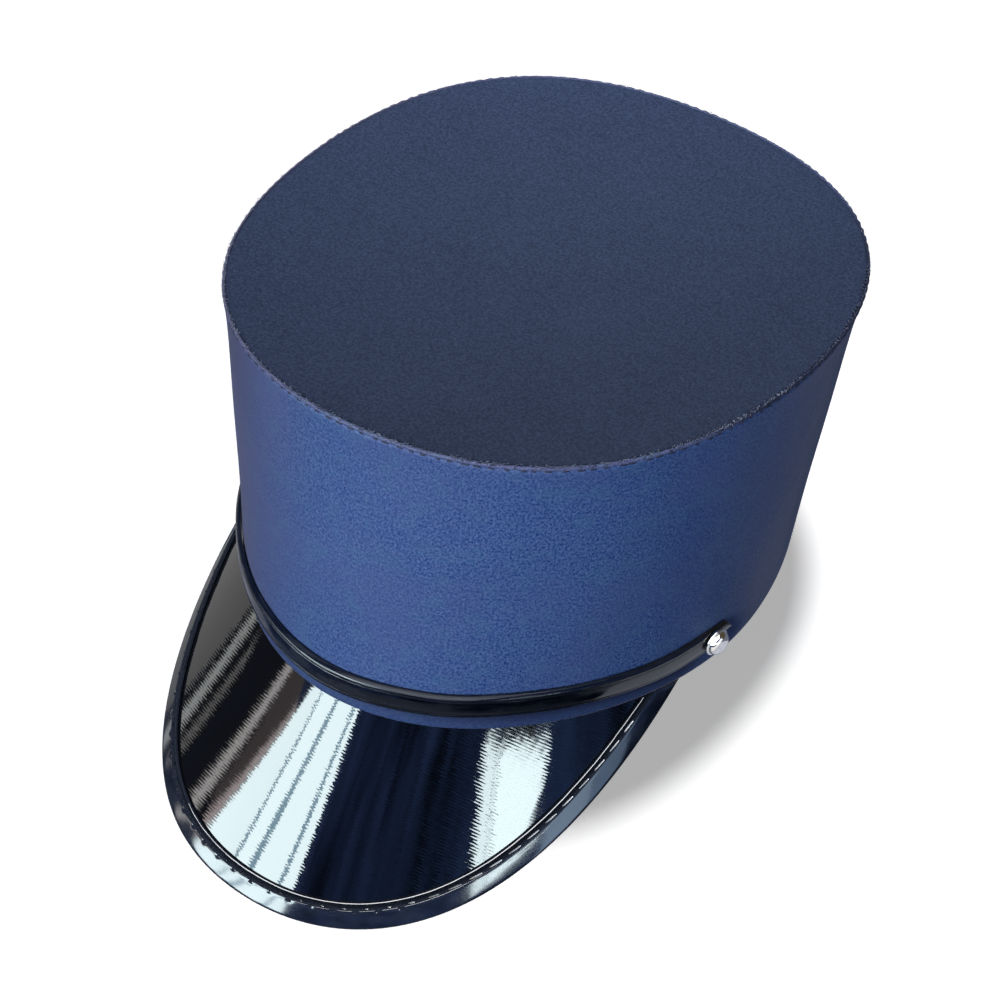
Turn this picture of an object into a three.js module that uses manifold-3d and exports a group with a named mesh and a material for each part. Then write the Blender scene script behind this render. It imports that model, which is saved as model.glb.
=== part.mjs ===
// Railroad cap: a stiff cloth crown with a flat round top, a steep patent peak with a bound edge,
// a narrow patent strap across the front and a metal button at each end of the strap.
// Millimetres, +Z up. The front points to -Y and the wearer's left side to +X.
import * as THREE from "three";
import { mergeVertices } from "three/addons/utils/BufferGeometryUtils.js";
import Module from "manifold-3d";

const { cos, sin, tan, atan2, abs, hypot, max, sqrt, PI } = Math;
const { degToRad, radToDeg, lerp, smoothstep } = THREE.MathUtils;

// Driving sizes, in millimetres and degrees
const GAP = 0.3; // clearance between neighbouring pieces
const AROUND = 72; // facets round the crown
const BLOCK = 600; // side of a cutting block, larger than the cap
const REST_FLAT = 0.5; // how far the resting edges are pressed flat
const STEP = 1e-3; // step of a parameter when a direction is measured on a curve

// The two outlines of the crown as polar curves. Each row is an ellipse with small shares of its radius
// added: egg narrows the front, lobes3 and lobes4 make it three- or four-sided, and skew and sway are the
// uneven pull that the sewn cloth has from left to right.
const BASE = { halfLength: 102, halfWidth: 82.5, egg: 0.053, lobes3: -0.013, lobes4: 0.014, skew: 0, sway: 0.009 };
const TOP = { halfLength: 93.5, halfWidth: 92, egg: -0.009, lobes3: 0.01, lobes4: -0.021, skew: -0.014, sway: -0.006 };

const CROWN = { height: 103, wall: 2, flare: 1.8, flarePower: 5, bulge: 0.3 };
const LID = { thickness: 2, shiftBack: 7, pitch: 3.8, roll: 0.95, edgeRound: 0.8 };
const PEAK = { reach: 69, halfSpan: 74.5, slope: 55.5, sideEase: 5, fan: 0.23, tip: 2.7, shoulder: 1.02, thickness: 1.6 };
const PEAK_ROOT = { inset: 1.2, columns: 43, boardEnd: 0.985, tabEnd: 0.88, tabHeight: 7, tabThickness: 1.6 };
const BINDING = { width: 8.2, leg: 1, clearance: 0.2, beadWidth: 1.8, beadRise: 0.4, grooveWidth: 1.6, groove: 0.2 };
const BINDING_RUN = { stations: 61, end: 0.998, footSpan: 0.6 };
const STRAP = { width: 8.7, endAngle: 87, standOff: 0.4, stations: 61, blunt: 0.12 };
const BUTTON = { angle: 80.5, radius: 4.6, post: 1.5, postLength: 6.2, sides: 24, domeRows: 7, holeLength: 30 };

// Wall of the crown in section, up the face and down again inside: share of the height, depth in shares of the wall.
const WALL_SECTION = [
  { up: 0, depth: 0.3 },
  { up: 0.008, depth: 0 },
  { up: 0.3, depth: 0 },
  { up: 0.58, depth: 0 },
  { up: 0.76, depth: 0 },
  { up: 0.87, depth: 0 },
  { up: 0.94, depth: 0 },
  { up: 1, depth: 0 },
  { up: 1, depth: 1 },
  { up: 0.9, depth: 1 },
  { up: 0.72, depth: 1 },
  { up: 0.4, depth: 1 },
  { up: 0, depth: 1 },
];

// Height of the strap's middle line above the crown's lower edge, by the angle from the front: it sags there.
const STRAP_LINE = [
  { angle: 0, height: 8.9 },
  { angle: 20, height: 10.1 },
  { angle: 40, height: 11.2 },
  { angle: 65, height: 10.8 },
  { angle: 80.5, height: 12 },
  { angle: 90, height: 12.4 },
];

// Strap in section, with a rolled rim along each edge: share of the half width, thickness there.
const STRAP_SECTION = [
  { across: -1, stand: 0 },
  { across: 1, stand: 0 },
  { across: 1, stand: 1 },
  { across: 0.92, stand: 1.7 },
  { across: 0.76, stand: 1.7 },
  { across: 0.62, stand: 1.2 },
  { across: 0, stand: 1.6 },
  { across: -0.62, stand: 1.2 },
  { across: -0.76, stand: 1.7 },
  { across: -0.92, stand: 1.7 },
  { across: -1, stand: 1 },
];

// Rim of a button from its seat to the foot of its dome, then the dome's own foot and top: share of the radius, height.
const BUTTON_RIM = [
  { out: 0.92, height: 0 },
  { out: 1, height: 0.5 },
  { out: 0.95, height: 1.1 },
];
const BUTTON_DOME = { out: 0.86, foot: 1.1, top: 3.4 };

const wasm = await Module();
wasm.setup();

// Solids from rings of points

// A closed geometry from shared vertices, with its faces turned outwards.
function closedGeometry(positions, triangles) {
  let volume = 0;
  const [a, b, c] = [new THREE.Vector3(), new THREE.Vector3(), new THREE.Vector3()];
  for (let i = 0; i < triangles.length; i += 3) {
    a.fromArray(positions, 3 * triangles[i]);
    b.fromArray(positions, 3 * triangles[i + 1]);
    c.fromArray(positions, 3 * triangles[i + 2]);
    volume += a.dot(b.cross(c));
  }
  const geometry = new THREE.BufferGeometry();
  geometry.setAttribute("position", new THREE.Float32BufferAttribute(positions, 3));
  return geometry.setIndex(volume < 0 ? triangles.reverse() : triangles);
}

// Triangles of a ring's own area, seen along the ring's average normal.
function capTriangles(ring) {
  const normal = new THREE.Vector3();
  ring.forEach((p, i) => normal.add(p.clone().cross(ring[(i + 1) % ring.length])));
  const turn = new THREE.Quaternion().setFromUnitVectors(normal.normalize(), new THREE.Vector3(0, 0, 1));
  const flat = ring.map((p) => p.clone().applyQuaternion(turn));
  return THREE.ShapeUtils.triangulateShape(flat.map((p) => new THREE.Vector2(p.x, p.y)), []).flat();
}

// A body lofted through rings with equal numbers of points: joined end to end, or capped at both ends.
function loft(rings, endless) {
  const n = rings[0].length;
  const triangles = [];
  const spans = endless ? rings.length : rings.length - 1;
  for (let i = 0; i < spans; i++) {
    const [here, there] = [i * n, ((i + 1) % rings.length) * n];
    for (let j = 0; j < n; j++) {
      const k = (j + 1) % n;
      triangles.push(here + j, here + k, there + k, here + j, there + k, there + j);
    }
  }
  if (!endless) {
    const last = (rings.length - 1) * n;
    const end = capTriangles(rings.at(-1)).map((i) => i + last);
    triangles.push(...capTriangles(rings[0]).reverse(), ...end);
  }
  return closedGeometry(rings.flat().flatMap((p) => p.toArray()), triangles);
}

// A geometry as a closed solid for cutting and joining.
function solid(geometry) {
  const bare = geometry.clone().deleteAttribute("normal").deleteAttribute("uv");
  const merged = mergeVertices(bare, 1e-4);
  const vertProperties = merged.attributes.position.array;
  const triVerts = new Uint32Array(merged.index.array);
  return new wasm.Manifold(new wasm.Mesh({ numProp: 3, vertProperties, triVerts }));
}

function geometryOf(made) {
  const mesh = made.getMesh();
  const geometry = new THREE.BufferGeometry();
  geometry.setAttribute("position", new THREE.BufferAttribute(mesh.vertProperties, 3));
  return geometry.setIndex(new THREE.BufferAttribute(mesh.triVerts, 1));
}

// The first geometry with the others cut out of it.
function cut(geometry, ...tools) {
  return geometryOf(tools.reduce((left, tool) => left.subtract(solid(tool)), solid(geometry)));
}

// Two geometries that overlap, as one.
function join(first, second) {
  return geometryOf(solid(first).add(solid(second)));
}

// Evenly spaced values from one end to the other, both ends included.
function spread(from, to, count) {
  return Array.from({ length: count }, (_, i) => lerp(from, to, i / (count - 1)));
}

// Angles all the way round, each facet once.
function fullTurn() {
  return Array.from({ length: AROUND }, (_, i) => (2 * PI * i) / AROUND);
}

// Shape of the crown, by the angle t from the front in radians

function outlinePoint(outline, t) {
  const [across, along] = [sin(t), -cos(t)];
  const uneven =
    outline.egg * along +
    outline.lobes3 * cos(3 * t) +
    outline.lobes4 * cos(4 * t) +
    outline.skew * sin(2 * t) +
    outline.sway * sin(3 * t);
  const radius = (1 + uneven) / hypot(across / outline.halfWidth, along / outline.halfLength);
  return new THREE.Vector3(radius * across, radius * along, 0);
}

function basePoint(t) {
  return outlinePoint(BASE, t);
}

function topPoint(t) {
  const p = outlinePoint(TOP, t);
  const rise = p.y * sin(degToRad(LID.pitch)) + p.x * tan(degToRad(LID.roll));
  return new THREE.Vector3(p.x, LID.shiftBack + p.y * cos(degToRad(LID.pitch)), CROWN.height + rise);
}

// Level direction square to the crown's lower edge.
function outward(t) {
  const along = basePoint(t + STEP).sub(basePoint(t - STEP)).normalize();
  return new THREE.Vector3(along.y, -along.x, 0);
}

// A point on the crown's face at a share of its height, moved outwards by some millimetres.
function facePoint(t, share, out = 0) {
  const radial = outlinePoint(TOP, t).normalize();
  const rim = topPoint(t).addScaledVector(radial, -CROWN.flare);
  const swell = CROWN.flare * share ** CROWN.flarePower + CROWN.bulge * 4 * share * (1 - share);
  return basePoint(t).lerp(rim, share).addScaledVector(radial, swell + out);
}

// Shape of the peak: straight rulings that run forward and down from a root just under the crown's edge.
// u goes from -1 at the right end to 1 at the left end, and s is the distance down a ruling

function ruling(u) {
  const t = u * degToRad(PEAK.halfSpan);
  const out = outward(t);
  const root = basePoint(t).addScaledVector(out, -PEAK_ROOT.inset);
  root.z -= GAP;
  const turn = PEAK.fan * atan2(out.x, -out.y);
  const slope = degToRad(PEAK.slope - PEAK.sideEase * u * u);
  const along = new THREE.Vector3(sin(turn) * cos(slope), -cos(turn) * cos(slope), -sin(slope));
  return { root, along };
}

function peakReach(u) {
  return PEAK.reach * max(1 - abs(u) ** PEAK.tip, 0) ** PEAK.shoulder;
}

// A point of the peak, moved off its face by some millimetres.
function peakPoint(u, s, above = 0) {
  const { root, along } = ruling(u);
  root.addScaledVector(along, s);
  return above === 0 ? root : root.addScaledVector(peakNormal(u, s), above);
}

function peakNormal(u, s) {
  const across = peakPoint(u + STEP, s).sub(peakPoint(u - STEP, s));
  return ruling(u).along.cross(across).normalize();
}

// The place on the peak that lies a distance inwards from its outer edge, square to that edge.
function fromEdge(u, distance) {
  const s = peakReach(u);
  const { along } = ruling(u);
  const edge = peakPoint(u + STEP, peakReach(u + STEP)).sub(peakPoint(u - STEP, peakReach(u - STEP)));
  const inward = edge.cross(peakNormal(u, s)).normalize();
  if (inward.dot(along) > 0) inward.negate();
  const across = peakPoint(u + STEP, s).sub(peakPoint(u - STEP, s)).divideScalar(2 * STEP);
  const square = across.clone().addScaledVector(along, -across.dot(along));
  const du = inward.dot(square) / square.lengthSq();
  const ds = inward.dot(along) - du * across.dot(along);
  return { u: u + du * distance, s: s + ds * distance };
}

// A point beside the peak's edge: inwards from it and above the peak's face.
function besideEdge(u, inward, above) {
  const place = fromEdge(u, inward);
  return peakPoint(place.u, place.s, above);
}

// Resting place: the peak's edge and the crown's back edge stand on one floor, which tilts the cap backwards

const UNDER_EDGE = PEAK.thickness + BINDING.clearance + BINDING.leg;
const heel = basePoint(PI);
const feet = spread(-BINDING_RUN.footSpan, BINDING_RUN.footSpan, BINDING_RUN.stations).map((u) => {
  return besideEdge(u, BINDING.leg, -UNDER_EDGE);
});
const restTilt = max(...feet.map((foot) => atan2(heel.z - foot.z, heel.y - foot.y)));

// A block below the floor, raised a little so that it presses the resting edges flat.
function floorBlock() {
  const block = new THREE.BoxGeometry(BLOCK, BLOCK, BLOCK);
  block.translate(0, 0, REST_FLAT - BLOCK / 2).rotateX(restTilt);
  return block.translate(0, heel.y, heel.z);
}

// Lie of the strap and its buttons; side is 1 on the wearer's left and -1 on the right

function strapHeight(t) {
  const angle = abs(radToDeg(t));
  const next = max(1, STRAP_LINE.findIndex((row) => row.angle >= angle));
  const [from, to] = [STRAP_LINE[next - 1], STRAP_LINE[next]];
  return lerp(from.height, to.height, smoothstep(angle, from.angle, to.angle));
}

// A point of the strap: up from its middle line and out from the crown's face.
function strapPoint(t, up, out) {
  return facePoint(t, (strapHeight(t) + up) / CROWN.height).addScaledVector(outward(t), out);
}

// Where a button sits: its +Y along the outward direction, its seat on the strap's face.
function buttonPlace(side) {
  const t = side * degToRad(BUTTON.angle);
  const seat = STRAP.standOff + max(...STRAP_SECTION.map((row) => row.stand)) + GAP;
  const turn = new THREE.Quaternion().setFromUnitVectors(new THREE.Vector3(0, 1, 0), outward(t));
  return new THREE.Matrix4().compose(strapPoint(t, 0, seat), turn, new THREE.Vector3(1, 1, 1));
}

// A round tool through the strap and the wall, a little wider than the button's post.
function postHole(side) {
  const radius = BUTTON.post + GAP;
  return new THREE.CylinderGeometry(radius, radius, BUTTON.holeLength, BUTTON.sides).applyMatrix4(buttonPlace(side));
}

// The pieces

function crownSide() {
  const top = 1 - (LID.thickness + GAP) / CROWN.height;
  const rings = fullTurn().map((t) => {
    return WALL_SECTION.map((row) => facePoint(t, row.up * top, -row.depth * CROWN.wall));
  });
  return cut(loft(rings, true), floorBlock(), postHole(-1), postHole(1));
}

// The flat top panel with a rounded edge, its upper face in the plane of its own frame.
function crownTop() {
  const outline = fullTurn().map((t) => outlinePoint(TOP, t));
  const shape = new THREE.Shape(outline.map((p) => new THREE.Vector2(p.x, p.y)));
  const geometry = new THREE.ExtrudeGeometry(shape, {
    depth: LID.thickness - 2 * LID.edgeRound,
    bevelThickness: LID.edgeRound,
    bevelSize: LID.edgeRound,
    bevelOffset: -LID.edgeRound,
    bevelSegments: 2,
  });
  return geometry.translate(0, 0, LID.edgeRound - LID.thickness);
}

// The peak's board, with a sewing tab that turns under the crown's edge and stands up inside its wall.
function peak() {
  const inEdge = BINDING.leg + 2 * BINDING.clearance;
  const { columns, boardEnd, tabEnd, tabHeight, tabThickness } = PEAK_ROOT;
  const places = spread(-boardEnd, boardEnd, columns).map((u) => fromEdge(u, inEdge));
  const board = places.map(({ u, s }) => {
    const rows = [0, 0.35, 0.7, 1].map((share) => s * share);
    const face = rows.map((row) => peakPoint(u, row));
    const under = rows.map((row) => peakPoint(u, row, -PEAK.thickness));
    return [...face, ...under.reverse()];
  });
  const outer = CROWN.wall + 2 * GAP;
  const inner = outer + tabThickness;
  const sewn = places.filter(({ u }) => abs(u) < tabEnd);
  const tab = sewn.map(({ u }) => {
    const t = u * degToRad(PEAK.halfSpan);
    const inside = (depth, z) => facePoint(t, max(z, 0) / CROWN.height).addScaledVector(outward(t), -depth).setZ(z);
    const inBoard = (depth) => peakPoint(u, 1, -depth * PEAK.thickness);
    return [
      inside(outer, tabHeight),
      inside(outer, -GAP),
      inBoard(0.2),
      inBoard(0.8),
      inside(inner, -GAP - tabThickness),
      inside(inner, tabHeight),
    ];
  });
  return join(loft(board, false), loft(tab, false));
}

// The binding folded over the peak's edge, with a rolled bead and a sewing groove along its upper side.
function peakBinding() {
  const { width, leg, clearance, beadWidth, beadRise, grooveWidth, groove } = BINDING;
  const top = clearance + leg;
  const inner = leg + clearance;
  const flat = width - beadWidth - grooveWidth;
  const section = [
    { inward: width, above: clearance },
    { inward: width, above: top },
    { inward: width - 0.3 * beadWidth, above: top + beadRise },
    { inward: width - 0.7 * beadWidth, above: top + beadRise },
    { inward: width - beadWidth, above: top - groove },
    { inward: flat, above: top - groove },
    { inward: flat - 2 * groove, above: top },
    { inward: leg, above: top },
    { inward: 0.25 * leg, above: 0.3 * top },
    { inward: 0, above: -0.5 * PEAK.thickness },
    { inward: 0.25 * leg, above: -PEAK.thickness - 0.3 * top },
    { inward: leg, above: -UNDER_EDGE },
    { inward: width - leg, above: -UNDER_EDGE },
    { inward: width - leg, above: -PEAK.thickness - clearance },
    { inward: inner, above: -PEAK.thickness - clearance },
    { inward: inner, above: clearance },
  ];
  const rings = spread(-1, 1, BINDING_RUN.stations).map((share) => {
    const u = BINDING_RUN.end * sin((PI / 2) * share);
    return section.map((row) => besideEdge(u, row.inward, row.above));
  });
  const aboveRim = new THREE.BoxGeometry(BLOCK, BLOCK, BLOCK).translate(0, 0, BLOCK / 2 - GAP);
  return cut(loft(rings, false), aboveRim, floorBlock());
}

// The strap from just past one button, across the front, to just past the other, with rounded ends.
function chinStrap() {
  const half = STRAP.width / 2;
  const end = degToRad(STRAP.endAngle);
  const rings = spread(-end, end, STRAP.stations).map((t) => {
    const fromEnd = (end - abs(t)) * BASE.halfWidth;
    const rounding = fromEnd < half ? sqrt(max(1 - (1 - fromEnd / half) ** 2, STRAP.blunt)) : 1;
    return STRAP_SECTION.map((row) => strapPoint(t, row.across * half * rounding, STRAP.standOff + row.stand));
  });
  return cut(loft(rings, false), postHole(-1), postHole(1));
}

// A domed button with a rim and a plain post behind it.
function button(side) {
  const { radius, post, postLength, domeRows } = BUTTON;
  const rim = BUTTON_RIM.map((row) => new THREE.Vector2(row.out * radius, row.height));
  const dome = spread(0, 1, domeRows).map((share) => {
    const across = share < 1 ? BUTTON_DOME.out * radius * cos((PI / 2) * share) : 0;
    return new THREE.Vector2(across, lerp(BUTTON_DOME.foot, BUTTON_DOME.top, sin((PI / 2) * share)));
  });
  const profile = [
    new THREE.Vector2(0, -postLength),
    new THREE.Vector2(post, -postLength),
    new THREE.Vector2(post, 0),
    ...rim,
    ...dome,
  ];
  return new THREE.LatheGeometry(profile, BUTTON.sides).applyMatrix4(buttonPlace(side));
}

// The assembled cap

const navyCloth = { color: 0x3a4f86, roughness: 0.75, metalness: 0 };
const slateCloth = { color: 0x2b3347, roughness: 0.9, metalness: 0 };
const patent = { color: 0x0c0d11, roughness: 0.18, metalness: 0 };
const nickel = { color: 0xc9cbcd, roughness: 0.15, metalness: 1 };

function piece(name, geometry, finish) {
  const mesh = new THREE.Mesh(geometry, new THREE.MeshStandardMaterial(finish));
  mesh.name = name;
  return mesh;
}

const lid = piece("crown_top", crownTop(), slateCloth);
lid.position.set(0, LID.shiftBack, CROWN.height);
lid.rotation.set(degToRad(LID.pitch), -degToRad(LID.roll), 0);

const cap = new THREE.Group();
cap.add(
  piece("crown_side", crownSide(), navyCloth),
  lid,
  piece("peak", peak(), patent),
  piece("peak_binding", peakBinding(), patent),
  piece("chin_strap", chinStrap(), patent),
  piece("button_left", button(1), nickel),
  piece("button_right", button(-1), nickel),
);

// Set down on the floor, tilted back, with the origin under the middle of its box.
cap.rotation.x = -restTilt;
const box = new THREE.Box3().setFromObject(cap, true);
const middle = box.getCenter(new THREE.Vector3());
cap.position.set(-middle.x, -middle.y, -box.min.z);

const part = new THREE.Group();
part.add(cap);

export default part;
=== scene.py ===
"""Railroad cap: the looks of a stiff navy cloth crown with a patent peak, strap and metal buttons.

The pieces are cut flat, as a cap maker cuts them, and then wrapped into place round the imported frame.
Metres, +Z up. The front points to -Y and the wearer's left side to +X.
"""
import math
import random

import bpy
import numpy as np
from mathutils import Matrix, Vector


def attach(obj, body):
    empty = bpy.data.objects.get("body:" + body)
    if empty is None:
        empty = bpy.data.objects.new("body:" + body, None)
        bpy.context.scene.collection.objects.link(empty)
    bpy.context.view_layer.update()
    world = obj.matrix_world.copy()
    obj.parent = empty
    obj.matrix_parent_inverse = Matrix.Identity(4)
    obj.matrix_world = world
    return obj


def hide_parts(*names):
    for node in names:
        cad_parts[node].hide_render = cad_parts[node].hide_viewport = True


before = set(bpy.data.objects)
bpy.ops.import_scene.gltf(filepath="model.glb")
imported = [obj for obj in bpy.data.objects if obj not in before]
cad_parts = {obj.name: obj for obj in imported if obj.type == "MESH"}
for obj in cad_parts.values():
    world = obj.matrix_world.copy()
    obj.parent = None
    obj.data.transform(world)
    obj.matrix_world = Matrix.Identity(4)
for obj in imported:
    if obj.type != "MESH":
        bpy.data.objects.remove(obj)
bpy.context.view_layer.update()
random.seed(7)

MM = 0.001
GAP = 0.3 * MM
STEP = 1e-3
WELD = 0.5e-5
STITCH_SMOOTH = 80
ALONG = (1, 0, 0)

# Outlines of the crown's lower edge and of its top, as polar curves
BASE = dict(
    half_length=102 * MM, half_width=82.5 * MM,
    egg=0.053, lobes3=-0.013, lobes4=0.014, skew=0, sway=0.009,
)
TOP = dict(
    half_length=93.5 * MM, half_width=92 * MM,
    egg=-0.009, lobes3=0.01, lobes4=-0.021, skew=-0.014, sway=-0.006,
)
HEIGHT = 103 * MM
WALL = 2 * MM
FLARE, FLARE_POWER, BULGE = 1.8 * MM, 5, 0.3 * MM
LID_BACK, LID_PITCH, LID_ROLL = 7 * MM, math.radians(3.8), math.radians(0.95)
GIRTH = 584 * MM

# Peak and its binding
PEAK_REACH, PEAK_SPAN = 69 * MM, math.radians(74.5)
PEAK_SLOPE, PEAK_EASE, PEAK_FAN = 55.5, 5, 0.23
PEAK_TIP, PEAK_SHOULDER = 2.7, 1.02
PEAK_INSET, PEAK_THICK, PEAK_END = 1.2 * MM, 1.6 * MM, 0.985
TAB_HEIGHT, TAB_DEPTH, TAB_END = 7 * MM, 2.6 * MM, 0.88
BINDING_END = 0.998
STITCH_IN, STITCH_PITCH = 6.2 * MM, 7.4 * MM

# Strap and buttons
STRAP_HALF, STRAP_END, STRAP_OFF = 4.35 * MM, math.radians(85.8), 0.4 * MM
STRAP_ANGLES = np.radians([0, 20, 40, 65, 80.5, 90])
STRAP_HEIGHTS = np.array([8.9, 10.1, 11.2, 10.8, 12, 12.4]) * MM
STRAP_BLUNT, STRAP_TONGUE = 0.12, 9 * MM
BUTTON_ANGLE, BUTTON_SEAT = math.radians(80.5), 2.4 * MM

# Resting place of the cap on the floor
REST_TILT = math.radians(13.578954859)
REST_PLACE = np.array([-0.6393562, 12.4938963, 25.3639253]) * MM


# Shape of the crown, by the angle t from the front and the share of its height


def outline_point(outline, t):
    across, along = np.sin(t), -np.cos(t)
    uneven = (
        outline["egg"] * along
        + outline["lobes3"] * np.cos(3 * t)
        + outline["lobes4"] * np.cos(4 * t)
        + outline["skew"] * np.sin(2 * t)
        + outline["sway"] * np.sin(3 * t)
    )
    radius = (1 + uneven) / np.hypot(across / outline["half_width"], along / outline["half_length"])
    return np.stack([radius * across, radius * along, 0 * radius], -1)


def unit(v):
    return v / np.linalg.norm(v, axis=-1, keepdims=True)


def eased(share):
    """A share from 0 to 1 with soft ends."""
    return share * share * (3 - 2 * share)


def hump(distance, width):
    """1 at no distance, falling off to 0 over about the width."""
    return np.exp(-((distance / width) ** 2))


def lid_place(p):
    """A point of the flat lid, turned into the plane of the crown's top."""
    x, y, z = p[..., 0], p[..., 1], p[..., 2]
    back = LID_BACK + y * math.cos(LID_PITCH) - z * math.sin(LID_PITCH)
    rise = HEIGHT + y * math.sin(LID_PITCH) + x * math.tan(LID_ROLL) + z
    return np.stack([x, back, rise], -1)


def outward(t):
    along = unit(outline_point(BASE, t + STEP) - outline_point(BASE, t - STEP))
    return np.stack([along[..., 1], -along[..., 0], 0 * along[..., 0]], -1)


def face_point(t, share, out=0.0):
    t, share, out = np.broadcast_arrays(t, share, out)
    flat = outline_point(TOP, t)
    radial = unit(flat)
    low, high = outline_point(BASE, t), lid_place(flat) - FLARE * radial
    swell = FLARE * np.maximum(share, 0) ** FLARE_POWER + BULGE * 4 * share * (1 - share) + out
    return low + (high - low) * share[..., None] + radial * swell[..., None]


# Shape of the peak: straight rulings down from the crown's edge, u from -1 to 1 and s down a ruling


def ruling(u):
    t = u * PEAK_SPAN
    out = outward(t)
    root = outline_point(BASE, t) - PEAK_INSET * out
    root[..., 2] -= GAP
    turn = PEAK_FAN * np.arctan2(out[..., 0], -out[..., 1])
    slope = np.radians(PEAK_SLOPE - PEAK_EASE * u * u)
    along = np.stack([np.sin(turn) * np.cos(slope), -np.cos(turn) * np.cos(slope), -np.sin(slope)], -1)
    return root, along


def peak_reach(u):
    return PEAK_REACH * np.maximum(1 - np.abs(u) ** PEAK_TIP, 0) ** PEAK_SHOULDER


def peak_line(u, s):
    root, along = ruling(u)
    return root + along * s[..., None]


def peak_normal(u, s):
    across = peak_line(u + STEP, s) - peak_line(u - STEP, s)
    return unit(np.cross(ruling(u)[1], across))


def peak_point(u, s, above=0.0):
    u, s, above = np.broadcast_arrays(u, s, above)
    return peak_line(u, s) + peak_normal(u, s) * above[..., None]


def from_edge(u, distance):
    """The place on the peak that lies a distance inwards from its edge, square to that edge."""
    u, distance = np.broadcast_arrays(u, distance)
    s, along = peak_reach(u), ruling(u)[1]
    edge = peak_line(u + STEP, peak_reach(u + STEP)) - peak_line(u - STEP, peak_reach(u - STEP))
    inward = unit(np.cross(edge, peak_normal(u, s)))
    inward *= -np.sign(np.sum(inward * along, -1, keepdims=True))
    across = (peak_line(u + STEP, s) - peak_line(u - STEP, s)) / (2 * STEP)
    lean = np.sum(across * along, -1)
    square = across - along * lean[..., None]
    du = np.sum(inward * square, -1) / np.sum(square * square, -1)
    ds = np.sum(inward * along, -1) - du * lean
    return u + du * distance, s + ds * distance


def beside_edge(u, inward, above):
    at, s = from_edge(u, inward)
    return peak_point(at, s, above)


def strap_height(t):
    angle = np.abs(t)
    row = np.clip(np.searchsorted(STRAP_ANGLES, angle), 1, len(STRAP_ANGLES) - 1)
    share = np.clip((angle - STRAP_ANGLES[row - 1]) / (STRAP_ANGLES[row] - STRAP_ANGLES[row - 1]), 0, 1)
    return STRAP_HEIGHTS[row - 1] + (STRAP_HEIGHTS[row] - STRAP_HEIGHTS[row - 1]) * eased(share)


def strap_point(t, up, out):
    return face_point(t, (strap_height(t) + up) / HEIGHT) + outward(t) * np.asarray(out)[..., None]


def set_down(p):
    """Points of the upright cap, tilted back and set on the floor, where they are pressed flat."""
    turn = np.array(Matrix.Rotation(-REST_TILT, 3, "X"))
    p = p @ turn.T + REST_PLACE
    p[..., 2] = np.maximum(p[..., 2], 0)
    return p


# Soft waves of sewn cloth: their lengths in millimetres, and the length whose wave is one unit high
WAVE_LENGTHS, UNIT_WAVE = (90, 60, 38, 24), 150
SIDE_SEED, LID_SEED, RIM_SEED = 3, 11, 5


def ripple(a, b, seed):
    """Soft unevenness, from -1 to 1 or so, at places a, b in metres."""
    draw = random.Random(seed)
    total = 0
    for length in WAVE_LENGTHS:
        turn, phase = draw.uniform(0, math.tau), draw.uniform(0, math.tau)
        run = a * math.cos(turn) + b * math.sin(turn)
        total = total + np.sin(run * math.tau / (length * MM) + phase) * length / UNIT_WAVE
    return total


# Modelling by operators


def start(add, name, **how):
    """Adds a primitive with nothing else selected."""
    bpy.ops.object.select_all(action="DESELECT")
    add(**how)
    piece = bpy.context.object
    piece.name = piece.data.name = name
    return piece


def only(piece):
    bpy.ops.object.select_all(action="DESELECT")
    piece.select_set(True)
    bpy.context.view_layer.objects.active = piece


def places(piece):
    found = np.empty(3 * len(piece.data.vertices))
    piece.data.vertices.foreach_get("co", found)
    return found.reshape(-1, 3)


def move_to(piece, points):
    piece.data.vertices.foreach_set("co", np.asarray(points, float).ravel())
    piece.data.update()


def edit(piece, *steps):
    """Runs steps in edit mode, each with all of the mesh selected at first."""
    only(piece)
    bpy.ops.object.mode_set(mode="EDIT")
    for step in steps:
        bpy.ops.mesh.select_all(action="SELECT")
        step()
    bpy.ops.object.mode_set(mode="OBJECT")


def weld():
    bpy.ops.mesh.remove_doubles(threshold=WELD)


def face_out():
    bpy.ops.mesh.normals_make_consistent(inside=False)


def close_ends():
    """Fills the open rims of a piece."""
    bpy.ops.mesh.select_all(action="DESELECT")
    bpy.ops.mesh.select_non_manifold(
        extend=False, use_wire=False, use_multi_face=False, use_non_contiguous=False, use_verts=False
    )
    bpy.ops.mesh.edge_face_add()


def map_to(piece, spots):
    """Sets a panel's own map from one pair of values for each vertex."""
    corners = np.empty(len(piece.data.loops), int)
    piece.data.loops.foreach_get("vertex_index", corners)
    piece.data.uv_layers.active.data.foreach_set("uv", np.asarray(spots, float)[corners].ravel())


def panel(name, columns, rows, width=1, height=1):
    """A flat panel, one unit each way about the origin, whose map has the size that is given."""
    made = start(bpy.ops.mesh.primitive_grid_add, name, x_subdivisions=columns, y_subdivisions=rows, size=1)
    layer = made.data.uv_layers.active.data
    found = np.empty(2 * len(layer))
    layer.foreach_get("uv", found)
    layer.foreach_set("uv", (found.reshape(-1, 2) * (width, height)).ravel())
    return made


def strip(name, stations, section, length, width, way=1):
    """A panel to wrap round a section: the piece, the share along it, and the section's two values."""
    turns = len(section)
    made = panel(name, stations, turns, length, width)
    flat = places(made)
    row = np.rint((0.5 + way * flat[:, 1]) * turns).astype(int) % turns
    return made, flat[:, 0], section[row, 0], section[row, 1]


def disc(name, radii, spokes):
    """A flat disc of concentric rings, drawn in from the outermost, with its middle closed."""
    def draw_in():
        for before, radius in zip(radii, radii[1:]):
            bpy.ops.mesh.extrude_edges_move()
            share = radius / before
            bpy.ops.transform.resize(value=(share, share, share), center_override=(0, 0, 0))
        bpy.ops.mesh.merge(type="CENTER")

    made = start(bpy.ops.mesh.primitive_circle_add, name, vertices=spokes, radius=radii[0])
    edit(made, draw_in)
    return made


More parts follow.
